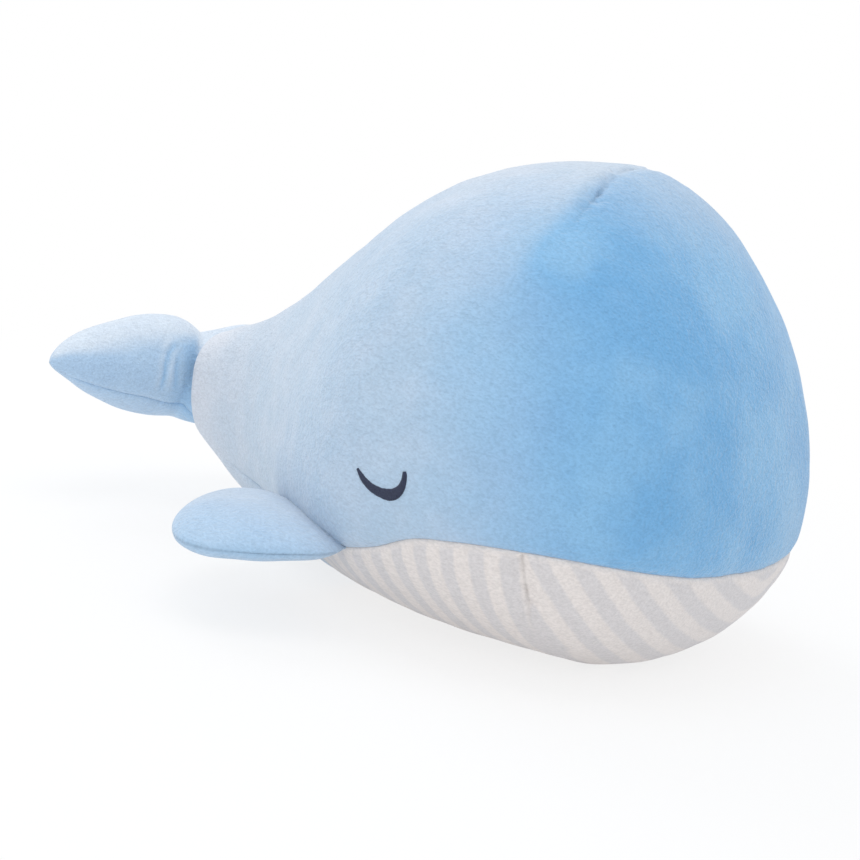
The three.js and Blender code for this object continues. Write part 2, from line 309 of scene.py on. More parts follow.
def remeshed(name, points, faces, cell):
    """A closed form as an object with even cells."""
    form = placed(name, mesh_of(name, points, faces, smooth=False))
    bpy.context.view_layer.objects.active = form
    form.select_set(True)
    form.data.remesh_voxel_size = cell
    bpy.ops.object.voxel_remesh()
    return form


def swelled(points, faces, held, shrink, cell, cap):
    """Inflates a copy of a closed form like a stuffed bag that is held at its seams, with a cloth simulation,
    and gives how far each point of the form moved."""
    normals = normals_of(points, faces)
    bag = remeshed("swelling", points - normals * shrink, faces, cell)
    start = np.array([v.co for v in bag.data.vertices])
    pinned = bag.vertex_groups.new(name="held")
    weights = faded(distance_to(held, start), cell + shrink, 2.5 * cell + shrink)
    for i, weight in enumerate(weights):
        pinned.add([i], float(weight), "REPLACE")
    bulge = bag.modifiers.new("cloth", "CLOTH")
    stuffed = {"use_pressure": True, "uniform_pressure_force": pressure, "vertex_group_mass": "held"}
    cloth_like = {"tension_stiffness": 15, "compression_stiffness": 15, "bending_stiffness": 0.5}
    for key, value in {"quality": 6, "mass": 0.3, **cloth_like, **stuffed}.items():
        setattr(bulge.settings, key, value)
    bulge.settings.effector_weights.gravity = 0
    bulge.collision_settings.use_collision = False
    scene = bpy.context.scene
    for at in range(1, swell_frames + 1):
        scene.frame_set(at)
    graph = bpy.context.evaluated_depsgraph_get()
    end = np.array([v.co for v in bag.evaluated_get(graph).data.vertices])
    scene.frame_set(1)
    move = end - start
    size = np.linalg.norm(move, axis=1, keepdims=True)
    move *= np.minimum(1, cap / np.maximum(size, 1e-9))
    bpy.data.objects.remove(bag)
    return carried(points - normals * shrink, start, move, 6, 0.2 * cell)


def kept_swell(moved, normals, calm=1):
    """The moves along the normals, less the middle one, so that the form keeps the size it was fitted to."""
    swell = np.sum(moved * normals, axis=1)
    return normals * (calm * (swell - np.median(swell)))[:, None] * swell_kept


def soft_shell(name, points, normals, faces, thickness, marks):
    """A piece of cloth with a right and a wrong side, closed round its cut edge, with marks on its points."""
    used, faces = np.unique(faces, return_inverse=True)
    faces = faces.reshape(-1, 3)
    points, normals = points[used].copy(), normals[used]
    sides = [tuple(side) for side in sides_of(faces).tolist()]
    known = set(sides)
    border = np.array([side for side in sides if side[::-1] not in known])
    count = len(points)
    inner = points - normals * thickness
    every = [faces, faces[:, ::-1] + count]
    a, b = border.T
    every += [np.c_[b, a, a + count], np.c_[b, a + count, b + count]]
    mesh = mesh_of(name, np.vstack([points, inner]), np.concatenate(every))
    for mark, values in marks.items():
        layer = mesh.attributes.new(mark, "FLOAT", "POINT")
        layer.data.foreach_set("value", np.tile(values[used], 2).astype(np.float32))
    return placed(name, mesh)


def node(tree, kind, sockets=None, **settings):
    made = tree.nodes.new(kind)
    for key, value in settings.items():
        setattr(made, key, value)
    for key, value in (sockets or {}).items():
        if isinstance(value, bpy.types.NodeSocket):
            tree.links.new(value, made.inputs[key])
        else:
            made.inputs[key].default_value = value
    return made


def blended(tree, share, first, second):
    """A colour between two, by a share that is a number or a socket."""
    made = node(tree, "ShaderNodeMix", {0: share}, data_type="RGBA")
    for index, value in ((6, first), (7, second)):
        if isinstance(value, bpy.types.NodeSocket):
            tree.links.new(value, made.inputs[index])
        else:
            made.inputs[index].default_value = (*value, 1)
    return made.outputs[2]


def ranged(tree, value, low, high, to_low=0, to_high=1):
    ends = {"Value": value, "From Min": low, "From Max": high, "To Min": to_low, "To Max": to_high}
    return node(tree, "ShaderNodeMapRange", ends, interpolation_type="SMOOTHSTEP").outputs["Result"]


def maths(tree, operation, *values):
    return node(tree, "ShaderNodeMath", dict(enumerate(values)), operation=operation).outputs[0]


def noise(tree, place, scale, detail=2.0, **more):
    sockets = {"Vector": place, "Scale": scale, "Detail": detail, **more}
    return node(tree, "ShaderNodeTexNoise", sockets).outputs["Fac"]


def mark_on(tree, name):
    """The value of a mark that the piece's points carry."""
    return node(tree, "ShaderNodeAttribute", attribute_name=name).outputs["Fac"]


def scaled(tree, colour, share):
    return node(tree, "ShaderNodeVectorMath", {0: colour, "Scale": share}, operation="SCALE").outputs[0]


def bumped(tree, shader, height, strength, depth):
    bump = node(tree, "ShaderNodeBump", {"Height": height, "Strength": strength, "Distance": depth})
    tree.links.new(bump.outputs["Normal"], shader.inputs["Normal"])


def linear(red, green, blue):
    """A colour as it looks on a screen, from 0 to 255, as the shader wants it."""
    parts = [part / 255 for part in (red, green, blue)]
    return tuple(p / 12.92 if p <= 0.04045 else ((p + 0.055) / 1.055) ** 2.4 for p in parts)


def start_material(name):
    made = bpy.data.materials.new(name)
    made.use_nodes = True
    tree = made.node_tree
    shader = tree.nodes["Principled BSDF"]
    return made, tree, shader, tree.nodes.new("ShaderNodeTexCoord").outputs["Object"]


def pile(tree, shader, place, colour, grain_size, grain_depth, sheen):
    """Short soft pile: fine grain in colour and height that lies along the body, and a pale sheen."""
    laid = node(tree, "ShaderNodeVectorMath", {0: place, 1: pile_lay}, operation="MULTIPLY").outputs[0]
    grain, tuft = noise(tree, laid, 1 / grain_size), noise(tree, laid, 0.4 / grain_size)
    speck = ranged(tree, grain, 0.3, 0.7, 0.93, 1.05)
    soft = ranged(tree, tuft, 0.3, 0.7, 0.97, 1.02)
    toned = scaled(tree, colour, maths(tree, "MULTIPLY", speck, soft))
    tree.links.new(toned, shader.inputs["Base Color"])
    height = maths(tree, "ADD", grain, maths(tree, "MULTIPLY", tuft, 1.5))
    bumped(tree, shader, height, 0.65, grain_depth)
    shader.inputs["Roughness"].default_value = 0.9
    shader.inputs["Specular IOR Level"].default_value = 0.2
    shader.inputs["Sheen Weight"].default_value = sheen
    shader.inputs["Sheen Roughness"].default_value = 0.45
    shader.inputs["Sheen Tint"].default_value = (0.93, 0.96, 1, 1)


def crease_shaded(tree, colour):
    """The colour, darker as painted shade along the thin fold lines that the piece's mark draws at darts and
    seams.
    """
    return scaled(tree, colour, maths(tree, "MULTIPLY_ADD", mark_on(tree, "crease_shade"), -crease_shade_depth, 1.0))


def blue_plush(name, pale, other_pale):
    """Pale blue pile. It turns a deeper blue on the front of the head, partly for the pile's lay and partly
    as painted shade where the head turns from the light, and where a piece's mark adds the pile's lay and
    painted shade. Its top keeps the pale tone as painted sheen. A second mark paints it paler towards the
    body's rim, and as painted sheen where the back looks upward."""
    made, tree, shader, place = start_material(name)
    parts = node(tree, "ShaderNodeSeparateXYZ", {"Vector": place}).outputs
    cloud = noise(tree, place, 14.0, 3.0, Roughness=0.55)
    fine_cloud = noise(tree, place, 45.0, 3.0)
    drift = maths(tree, "MULTIPLY", maths(tree, "SUBTRACT", cloud, 0.5), 0.08)
    raised = maths(tree, "MULTIPLY_ADD", parts["Z"], 0.3, -0.03)
    ahead = maths(tree, "ADD", maths(tree, "ADD", parts["X"], raised), drift)
    # Painted shade: the deeper blue is blended in towards the front of the head, partly for the pile's lay.
    haze = ranged(tree, ahead, -0.1, 0.13, 0, 0.22)
    front = maths(tree, "MULTIPLY_ADD", ranged(tree, ahead, 0.1, 0.205), 0.78, haze)
    # Painted sheen: the top of the head keeps the pale tone.
    front = maths(tree, "MULTIPLY", front, ranged(tree, parts["Z"], 0.2, 0.256, 1, 0.25))
    flank = blended(tree, ranged(tree, fine_cloud, 0.35, 0.7), linear(*pale), linear(*other_pale))
    nap_and_shade_blue = blended(tree, ranged(tree, cloud, 0.35, 0.65), linear(118, 176, 222), linear(142, 191, 229))
    # Paler by the mark for paling near the rim and painted sheen.
    flank = blended(tree, mark_on(tree, "rim_paling_and_sheen"), flank, linear(238, 235, 237))
    colour = crease_shaded(tree, blended(tree, maths(tree, "ADD", front, mark_on(tree, "nap")), flank, nap_and_shade_blue))
    pile(tree, shader, place, colour, 1.3 * MM, 1.1 * MM, 0.5)
    return made


ring_step = 3 * MM
columns = 228
rear_places = np.linspace(lip - lip * lip_turn, lip, 10)
middle_places = np.linspace(lip, widest, round((widest - lip) / ring_step))[1:]
nose_turn = np.linspace(0, math.pi / 2, 76)[1:-1]
front_places = widest + (body_length - widest) * np.sin(nose_turn)
along_body = np.concatenate([rear_places, middle_places, front_places])
round_body = 2 * math.pi * (np.arange(columns) + 0.5) / columns
nose_tip = (body_length - 0.01 * MM, 0, 1)
body_places = np.vstack([rings(along_body, round_body), [nose_tip]])
body_faces = sheet_of(len(along_body), columns, False, True)


def over_seam(places):
    points = on_body(places)
    return points[:, 2] - seam_height(points[:, 0] - rim_x)


def past_belly_edge(places):
    return on_body(places)[:, 0] - rim_x - belly_from


def on_side(marks, side):
    """Places on one side from marks in mm: how far along, across and up. The floor is at floor_at."""
    return [(along * MM + rim_x, side * across * MM, (up - floor_at) * MM) for along, across, up in marks]


belly_marks = [(331.6, 125, 68), (330.2, 124, 64.3), (331.3, 116.6, 48.4), (329, 102.6, 30.3)]
belly_darts = [on_side(belly_marks, side) for side in (-1, 1)]
head_marks = [(300, 92, 209.5), (299.4, 77.4, 222.4), (296.5, 57.8, 236.8), (291, 36, 246.5)]
head_marks += [(287.6, 16, 252.2)]
head_dart = on_side([*head_marks, (287, 0, 253)], -1) + on_side(head_marks[::-1], 1)

for reach in (11 * MM, 4.5 * MM):
    points = on_body(body_places)
    near = np.abs(over_seam(body_places)) < reach
    near |= (np.abs(past_belly_edge(body_places)) < reach) & (over_seam(body_places) < reach)
    for dart in [*belly_darts, head_dart]:
        near |= to_line(points, dart)[0] < reach
    near &= points[:, 0] > rim_x + lip
    body_places, body_faces = finer(body_places, body_faces, near)
body_places, body_faces, on_cover = parted(body_places, body_faces, over_seam)
body_places, under_faces, on_belly = parted(body_places, body_faces[~on_cover], past_belly_edge)
cover_faces, belly_faces, rear_faces = body_faces[on_cover], under_faces[on_belly], under_faces[~on_belly]
body_faces = np.concatenate([cover_faces, belly_faces, rear_faces])

body_points = on_body(body_places)
body_normals = normals_of(body_points, body_faces)


def seam_distance(points, normals):
    """How far each point of the skin lies from the side seam, and from the seam across the underside."""
    x = points[:, 0] - rim_x
    off = points[:, 2] - seam_height(x)
    slope = (seam_height(x + MM) - seam_height(x - MM)) / (2 * MM)
    away = np.stack([-slope, np.zeros(len(x)), np.ones(len(x))], axis=1)
    away -= normals * np.sum(away * normals, axis=1, keepdims=True)
    side = np.abs(off) / np.maximum(np.linalg.norm(away, axis=1), 0.35)
    level = np.sqrt(np.maximum(1 - normals[:, 0] ** 2, 0.1))
    cross = np.where(off < 0, np.abs(x - belly_from) / level, 1)
    return side, cross


def near_to(value, width, middle=0):
    """One where the value is at its middle, fading to nought about a width or two away."""
    return np.exp(-(((value - middle) / width) ** 2))


side_off, cross_off = seam_distance(body_points, body_normals)
from_rim = body_points[:, 0] - rim_x
moved = np.zeros_like(body_points)
coarse_along, coarse_round = along_body[9::2], round_body[::3]
coarse_points = on_body(np.vstack([rings(coarse_along, coarse_round), [(lip, 0.01, 0)], [nose_tip]]))
coarse_points[-2] = (rim_x + lip, 0, rim_middle_z)
coarse_faces = sheet_of(len(coarse_along), len(coarse_round), True, True)
held = body_points[(np.minimum(side_off, cross_off) < 1.5 * MM) | (body_points[:, 0] < rim_x + 8 * MM)]
held = np.vstack([held, head_dart, *belly_darts])
coarse_move = swelled(coarse_points, coarse_faces, held, 3 * MM, 6.5 * MM, 5 * MM)
moved = kept_swell(carried(body_points, coarse_points, coarse_move, 5, MM), body_normals)

sink = side_seam_deep * rolled(side_off, seam_width) * smooth_step(from_rim, 8 * MM, 90 * MM)
sink = np.maximum(sink, cross_seam_deep * rolled(cross_off, seam_width))
pucker = np.zeros(len(body_points))
# Painted shade: a thin dark line along each belly dart.
belly_dart_shade = np.zeros(len(body_points))
for dart in belly_darts:
    off, share = to_line(body_points, dart)
    open_share = faded(share, 0.6, 1)
    sink = np.maximum(sink, dart_deep * open_share * rolled(off, dart_width))
    pucker += open_share * near_to(off, 7 * MM)
    belly_dart_shade += faded(share, 0.8, 1) * near_to(off, 0.9 * MM)
off, share = to_line(body_points, head_dart)
from_end = np.minimum(share, 1 - share)
open_share = smooth_step(from_end, 0.03, 0.2) * (1 - 0.35 * smooth_step(from_end, 0.25, 0.5))
sink = np.maximum(sink, dart_deep * open_share * rolled(off, dart_width))
pucker += open_share * near_to(off, 8 * MM)
# Painted shade: a thin dark line along the head dart.
head_dart_shade = open_share * near_to(off, 1.1 * MM)
# Painted shade in front of the head dart, where the head turns from the light, and painted light behind it.
dart_light_and_shade = 0.26 * np.tanh((from_rim - 292 * MM) / (5 * MM)) * near_to(off, 30 * MM)
calm = smooth_step(from_rim, 4 * MM, 30 * MM)
stand = 0.7 * MM * lumps(body_points, 70 * MM, 3) + 0.25 * MM * lumps(body_points, 24 * MM, 5)
stand += 0.8 * MM * pucker * lumps(body_points, 9 * MM, 6)
body_points = body_points + moved + body_normals * (stand * calm - sink)[:, None]
body_points[:, 2] = floor_round * np.logaddexp(0, body_points[:, 2] / floor_round)
body_normals = normals_of(body_points, body_faces)

# Paler towards the body's rim, and painted sheen where the back looks upward.
rim_paling_and_sheen = 0.3 * faded(from_rim, 0, 36 * MM) + 0.32 * faded(from_rim, 10 * MM, 95 * MM)
upward_sheen = smooth_step(body_normals[:, 2], 0.55, 0.95) * faded(from_rim, 235 * MM, 290 * MM)
rim_paling_and_sheen = np.maximum(rim_paling_and_sheen, 0.35 * upward_sheen)
marks = {"nap": dart_light_and_shade, "crease_shade": head_dart_shade, "rim_paling_and_sheen": rim_paling_and_sheen}
cover = soft_shell("upper_cover_plush", body_points, body_normals, cover_faces, cloth, marks)
cover.data.materials.append(blue_plush("body_plush", (190, 208, 225), (199, 213, 228)))
rear = soft_shell("rear_underside_plush", body_points, body_normals, rear_faces, cloth, {"rim_paling_and_sheen": rim_paling_and_sheen})
rear.data.materials.append(cover.data.materials[0])

# The belly panel is cut across a striped plush, off-white and pale grey, so its stripes run under the head.
# The dart on each side turns those in front of it.
behind_pitch, front_pitch, first_behind, first_ahead = 14.2 * MM, 22 * MM, 339.5 * MM, 330.7 * MM
belly_x = body_points[:, 0] - rim_x
dart_at = 330.5 * MM
fold_at, fold_round = 30 * MM, 12 * MM
askew_out, askew_up = 0.485, 0.8
under_half, under_fade = 104 * MM, 45 * MM
from_fold = np.hypot(body_points[:, 1] - fold_at, fold_round) - fold_at
askew_x = belly_x - askew_out * from_fold + askew_up * body_points[:, 2]
under = smooth_step(under_half - np.abs(body_points[:, 1]), 0, under_fade)
turn_over = (3 + 12 * under) * MM
before_dart = smooth_step(belly_x, dart_at - turn_over, dart_at + turn_over)
phase = (1 - before_dart) * (belly_x - first_behind) / behind_pitch
phase += before_dart * (askew_x - first_ahead) / front_pitch
marks = {"stripe": phase, "edge": side_off / MM, "crease_shade": belly_dart_shade}
belly = soft_shell("belly_plush", body_points, body_normals, belly_faces, cloth, marks)
made, tree, shader, place = start_material("belly_plush")
waver = maths(tree, "MULTIPLY", noise(tree, place, 120.0), 0.1)
waved = maths(tree, "ADD", mark_on(tree, "stripe"), waver)
wave = maths(tree, "COSINE", maths(tree, "MULTIPLY", waved, 2 * math.pi))
at_edge = ranged(tree, mark_on(tree, "edge"), 1.0, 4.0, 0.25, 1)
grey = maths(tree, "MULTIPLY", ranged(tree, wave, -0.4, 0.45), at_edge)
colour = crease_shaded(tree, blended(tree, grey, linear(231, 224, 220), linear(217, 213, 213)))
pile(tree, shader, place, colour, 1.2 * MM, 0.6 * MM, 0.3)
belly.data.materials.append(made)

for piece, cad_node, finish in (
    (cover, "upper_cover", "blue_plush"),
    (rear, "rear_underside_panel", "blue_plush"),
    (belly, "belly_panel", "striped_plush"),
):
    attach(piece, "body")
    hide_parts(cad_node)

# The filling is loose white polyester fibre. It is pushed in through an opening in a seam until each form is
# firm, and the sewn covers hold it.
fibre, tree, shader, place = start_material("fibre_filling")
colour = blended(tree, noise(tree, place, 160.0, 6.0), linear(226, 224, 218), linear(248, 247, 243))
pile(tree, shader, place, colour, 2.5 * MM, 2 * MM, 0.3)


def filling(name, points, faces, seed, body, cad_node):
    """A closed lump of fibre from the form that holds it. It moves with one body."""
    uneven = normals_of(points, faces) * 0.3 * MM * lumps(points, 18 * MM, seed)[:, None]
    mesh = mesh_of(name, points + uneven, faces)
    mesh.materials.append(fibre)
    piece = placed(name, mesh)
    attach(piece, body)
    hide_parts(cad_node)


fill_from, fill_nose, fill_inset = 24 * MM, 146 * MM, 8 * MM
fill_along = np.concatenate([np.linspace(fill_from, widest, 30), widest + fill_nose * np.sin(nose_turn[::4])])
fill_round = round_body[::4]
fill_places = np.vstack([rings(fill_along, fill_round), [(fill_from, 0.01, 0)], [(widest + fill_nose, 0, 1)]])
fill_points = on_body(fill_places, fill_inset)
fill_points[-2] = (rim_x + 20 * MM, 0, rim_middle_z)
fill_points[-1] = (rim_x + body_length - 9 * MM, 0, equator)
fill_faces = sheet_of(len(fill_along), len(fill_round), True, True)
filling("body_fibre", fill_points, fill_faces, 21, "body", "body_filling")

# Each flipper is two blue panels sewn together round the edge, turned, stuffed softly, and sewn into the side
# seam at its root, where it pinches flat.
flap = joint_named["right_flipper_flap"]
root_middle = np.array(flap["pos_m"])
along_root = -np.array(flap["axis"])
along_root /= np.linalg.norm(along_root)
drop = math.radians(3.4)
outwards = np.array([along_root[1], -along_root[0], -math.tan(drop)])
outwards /= np.linalg.norm(outwards)
off_root = np.cross(outwards, along_root)
flipper_reach = 78.5 * MM
flipper_half, flipper_root_half, flipper_widest = 61 * MM, 50 * MM, 17 * MM
flipper_thick, flipper_root_thick, thickest_at = 12 * MM, 5 * MM, 30 * MM
rear_set, tip_sweep = 5 * MM, 28 * MM
flipper_rows, flipper_columns = 46, 96
flipper_seam_deep, limb_seam_width = 1.3 * MM, 5 * MM
thinnest, root_inside = 0.2 * MM, 6 * MM


def on_flipper(places, inset=0):
    out, ahead, upward = places.T
    size = np.hypot(ahead, upward)
    ahead, upward = ahead / size, upward / size
    reach = flipper_reach - inset
    inner = np.clip(1 - out / flipper_widest, 0, 1)
    outer = np.clip((out - flipper_widest) / (reach - flipper_widest), 0, 1)
    chord = flipper_half * (1 - outer**1.8) ** (1 / 1.8) - (flipper_half - flipper_root_half) * inner**2
    fullness = np.sin(math.pi / 2 * np.clip(out / thickest_at, 0, 1))
    thinning = np.clip((out - thickest_at) / (reach - thickest_at), 0, 1)
    thick = flipper_root_thick + (flipper_thick - flipper_root_thick) * fullness
    thick = thick * np.sqrt(1 - thinning**2)
    sweep = tip_sweep * np.clip(out / flipper_reach, 0, 1) ** 2.5 - rear_set
    middle = root_middle + np.outer(out, outwards) + np.outer(sweep, along_root)
    chord, thick = np.maximum(chord - inset, thinnest), np.maximum(thick - inset, thinnest)
    lens = np.sign(upward) * np.abs(upward) ** 1.15
    return middle + np.outer(chord * ahead, along_root) + np.outer(thick * lens, off_root)


out_steps = flipper_reach * np.sin(np.linspace(0, math.pi / 2, flipper_rows))[:-1]
out_steps = np.concatenate([[-root_inside, -root_inside / 2], out_steps])
round_flipper = ring_turns(flipper_columns)
flipper_tip = (flipper_reach - 0.0005 * MM, 0.01, 0)
flipper_places = np.vstack([rings(out_steps, round_flipper), [flipper_tip]])
flipper_faces = sheet_of(len(out_steps), flipper_columns, False, True)


def over_edge_seam(places):
    return places[:, 2]


near = np.abs(on_flipper(flipper_places) @ off_root - root_middle @ off_root) < 3 * MM
flipper_places, flipper_faces = finer(flipper_places, flipper_faces, near & (flipper_places[:, 0] > 0))
flipper_places, flipper_faces, flipper_upper = parted(flipper_places, flipper_faces, over_edge_seam)
flipper_points = on_flipper(flipper_places)
flipper_normals = normals_of(flipper_points, flipper_faces)
from_root = flipper_places[:, 0]
seam_rim = flipper_points[np.abs(flipper_places[:, 2]) < 1e-6]
moved = np.zeros_like(flipper_points)
ring = np.arange(flipper_columns)
middle = np.full(flipper_columns, len(flipper_points))
cap_faces = np.stack([middle, ring, (ring + 1) % flipper_columns], axis=1)
closed_points = np.vstack([flipper_points, root_middle - outwards * root_inside])
a, b, c = (closed_points[cap_faces[:, k]] for k in range(3))
if np.sum(np.cross(b - a, c - a) @ outwards) > 0:
    cap_faces = cap_faces[:, ::-1]
closed_faces = np.concatenate([flipper_faces, cap_faces])
held = np.vstack([seam_rim, flipper_points[from_root < MM]])
moved = swelled(closed_points, closed_faces, held, 1.2 * MM, 4 * MM, 3 * MM)[:-1]
moved = kept_swell(moved, flipper_normals, faded(from_root, 40 * MM, 70 * MM))
side_off = distance_to(seam_rim, flipper_points)
sink = flipper_seam_deep * rolled(side_off, limb_seam_width) * faded(from_root, 45 * MM, 72 * MM)
sink = sink * smooth_step(from_root, 6 * MM, 28 * MM)
stand = 0.35 * MM * lumps(flipper_points, 30 * MM, 8)
calm = smooth_step(from_root, 0, 20 * MM)
flipper_points = flipper_points + moved + flipper_normals * (stand * calm - sink)[:, None]
flipper_normals = normals_of(flipper_points, flipper_faces)
flipper_plush = blue_plush("flipper_plush", (200, 214, 229), (207, 219, 232))
from_side = root_middle[1] - flipper_points[:, 1]
facing_up = smooth_step(flipper_normals[:, 2], 0.35, 0.95)
# Deeper blue farther out from the root, and painted shade on the surfaces that look down.
flipper_tone_and_shade = 0.34 * smooth_step(from_side, 20 * MM, 66 * MM) + 0.08 * (1 - facing_up)
# Painted shade: a thin dark line along the edge seam.
flipper_seam_shade = 0.8 * near_to(side_off, 0.8 * MM) * smooth_step(from_root, 4 * MM, 12 * MM)
fill_out = flipper_reach * np.sin(np.linspace(0.1, math.pi / 2, 20))[:-1] * 0.94
fill_out = np.concatenate([[MM], fill_out])
fill_round = round_flipper[::4]
fill_ends = [(MM, 0.01, 0), (fill_out[-1] + 0.5 * MM, 0.01, 0)]
flipper_fill_points = on_flipper(np.vstack([rings(fill_out, fill_round), fill_ends]), 4.2 * MM)
flipper_fill_points[-2] = root_middle + outwards * MM - along_root * rear_set
flipper_fill_faces = sheet_of(len(fill_out), len(fill_round), True, True)

for side, word in ((1, "right"), (-1, "left")):
    turn = np.array([1, side, 1])
    body_name = f"{word}_flipper"
    for part, chosen in (("upper", flipper_upper), ("lower", ~flipper_upper)):
        part_faces = flipper_faces[chosen][:, ::side]
        marks = {"nap": flipper_tone_and_shade, "crease_shade": flipper_seam_shade}
        points, normals = flipper_points * turn, flipper_normals * turn
        piece = soft_shell(f"{word}_flipper_{part}_plush", points, normals, part_faces, limb_cloth, marks)
        piece.data.materials.append(flipper_plush)
        start = root_middle * turn
        end = (root_middle + outwards * 16 * MM) * turn
        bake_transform(piece)
        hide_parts(f"{word}_flipper_{part}_panel")
    points, faces = flipper_fill_points * turn, flipper_fill_faces[:, ::side]
    filling(f"{word}_flipper_fibre", points, faces, 31, body_name, f"{word}_flipper_filling")

# The tail is two blue panels, upper and lower, sewn together from tip to tip and along its short neck. It is
# stuffed, pushed into the body's rim and sewn there, so the neck folds in creases where it bends.
lobes_x, lobes_z = rim_x - 36 * MM, tail_pivot.z + 2.7 * MM
lobes_half, lobe_chord, lobe_thick, lobe_sweep = 110 * MM, 32 * MM, 32 * MM, 4 * MM
pitch = math.radians(30)
lobes_back = np.array([-math.cos(pitch), 0, math.sin(pitch)])
lobes_up = np.array([math.sin(pitch), 0, math.cos(pitch)])
neck_half, neck_high, neck_drop = 18 * MM, 28.5 * MM, 4 * MM
near_fold = [(10.4, 29, 103), (8.4, 35, 98.2), (7.3, 38.4, 95.2), (5.8, 40.9, 88.9)]
near_fold += [(5.4, 41, 83), (6.2, 41, 77), (8.7, 40, 70)]
far_fold = [(9.5, 30, 100.6), (6, 32.4, 92), (4.9, 32.8, 86.7), (5.6, 31, 78), (8.1, 28, 69.4)]
neck_folds = [(1.5, near_fold), (0.8, far_fold)]
tail_seam_deep, fold_width = 1.5 * MM, 6 * MM
neck_columns = 48
upper_dents = [(-0.66, 22, 27), (0.17, 14, 59), (0.04, 28, -30), (-0.06, 26, -72)]
lower_dents = [(0.12, 34, -8), (-0.28, 38, -104)]


def dented(across, dents):
    """How thick the lobes are against their plain form. A dent holds how much it adds or takes away, how wide
    it is and at what place across it lies, in mm."""
    return 1 + sum(more * near_to(across, width * MM, place * MM) for more, width, place in dents)


def lobes_form(rows, count, inset=0):
    """Both lobes as one closed form that runs from tip to tip."""
    points = []
    for side in -np.cos(np.linspace(0, math.pi, rows)):
        size = (1 - abs(side) ** 2.6) ** 0.75
        across = lobes_half * side
        middle = np.array([lobes_x + lobe_sweep * side * side, (lobes_half - inset) * side, lobes_z])
        chord, thick = max(lobe_chord * size - inset, thinnest), max(lobe_thick * size - inset, thinnest)
        above, below = dented(across, upper_dents), dented(across, lower_dents)
        for turn in ring_turns(count):
            up = thick * math.sin(turn) * (above if math.sin(turn) > 0 else below)
            points.append(middle + lobes_back * chord * math.cos(turn) + lobes_up * up)
    points += [points[0], points[-1]]
    return np.array(points), sheet_of(rows, count, True, True)


def neck_form():
    points = []
    steps = np.linspace(14 * MM, -34 * MM, 14)
    for x in steps:
        tucked = 1 - 0.16 * smooth_step(x, -2 * MM, 5 * MM)
        for turn in ring_turns(neck_columns):
            wide, high = neck_half * tucked * math.cos(turn), neck_high * math.sin(turn)
            points.append((rim_x + x, wide, rim_middle_z - neck_drop + high))
    points += [(rim_x + steps[0], 0, rim_middle_z), (rim_x + steps[-1], 0, rim_middle_z)]
    return np.array(points), sheet_of(len(steps), neck_columns, True, True)


def outward(points, faces):
    """The faces of a closed form, turned so that they look outward."""
    points = points - points.mean(axis=0)
    a, b, c = (points[faces[:, k]] for k in range(3))
    return faces if np.einsum("ij,ij->i", a, np.cross(b, c)).sum() > 0 else faces[:, ::-1]


def fused_tail(cell, rounds):
    """Lobes and neck in one skin, with the corner between them rounded over."""
    points, faces = [], []
    for part_points, part_faces in (lobes_form(64, 48), neck_form()):
        faces.append(outward(part_points, part_faces) + sum(map(len, points)))
        points.append(part_points)
    form = remeshed("tail_form", np.vstack(points), np.concatenate(faces), cell)
    mesh = form.data
    points = np.array([v.co for v in mesh.vertices])
    mesh.calc_loop_triangles()
    faces = np.array([t.vertices[:] for t in mesh.loop_triangles])
    edges = np.array([e.vertices[:] for e in mesh.edges])
    degree = np.bincount(edges.ravel(), minlength=len(points))
    for i in range(rounds):
        total = np.stack(
            [
                np.bincount(edges[:, 0], points[edges[:, 1], axis], len(points))
                + np.bincount(edges[:, 1], points[edges[:, 0], axis], len(points))
                for axis in range(3)
            ],
            axis=1,
        )
        mean = total / degree[:, None]
        points = points + (mean - points) * (0.5 if i % 2 == 0 else -0.45)
    bpy.data.objects.remove(form)
    return points, outward(points, faces)


def over_tail_seam(points):
    """The seam's plane through the lobes, which dips along the neck to the rim."""
    middle = np.array([lobes_x, 0, lobes_z])
    dip = 0.12 * np.maximum(points[:, 0] - lobes_x, 0)
    inner = faded(np.abs(points[:, 1]), 20 * MM, 56 * MM)
    dip += 6 * MM * inner * smooth_step(points[:, 0] - lobes_x, 5 * MM, 28 * MM)
    return (points - middle) @ lobes_up + dip


tail_points, tail_faces = fused_tail(2 * MM, 30)
near = np.abs(over_tail_seam(tail_points)) < 4 * MM
tail_points, tail_faces = finer(tail_points, tail_faces, near)
tail_points, tail_faces, tail_upper = parted(tail_points, tail_faces, over_tail_seam)
tail_normals = normals_of(tail_points, tail_faces)
seam_rim = tail_points[np.abs(over_tail_seam(tail_points)) < 0.01 * MM]
from_tip = lobes_half - np.abs(tail_points[:, 1])
moved = np.zeros_like(tail_points)
held = np.vstack([seam_rim, tail_points[tail_points[:, 0] > rim_x - 2 * MM]])
moved = swelled(tail_points, tail_faces, held, 1.5 * MM, 4.5 * MM, 3.5 * MM)
moved = kept_swell(moved, tail_normals, smooth_step(from_tip, 3 * MM, 30 * MM))
side_off = distance_to(seam_rim, tail_points)
sink = tail_seam_deep * rolled(side_off, limb_seam_width) * smooth_step(from_tip, 3 * MM, 22 * MM)
stand = 0.45 * MM * lumps(tail_points, 36 * MM, 11)
neck_fold_shading = np.zeros(len(tail_points))
for deep, marks in neck_folds:
    for side in (-1, 1):
        line = [(rim_x - back * MM, side * across * MM, up * MM) for back, across, up in marks]
        off, share = to_line(tail_points, line)
        shape = smooth_step(np.minimum(share, 1 - share), 0, 0.25)
        sink = np.maximum(sink, deep * MM * shape * rolled(off, fold_width))
        ridge = deep * shape * near_to(off, 2 * MM, 4 * MM)
        stand += 0.35 * MM * ridge
        # Painted shade in each fold's valley and a painted highlight on its ridge.
        neck_fold_shading += deep * shape * 0.2 * near_to(off, 1.6 * MM) - 0.1 * ridge
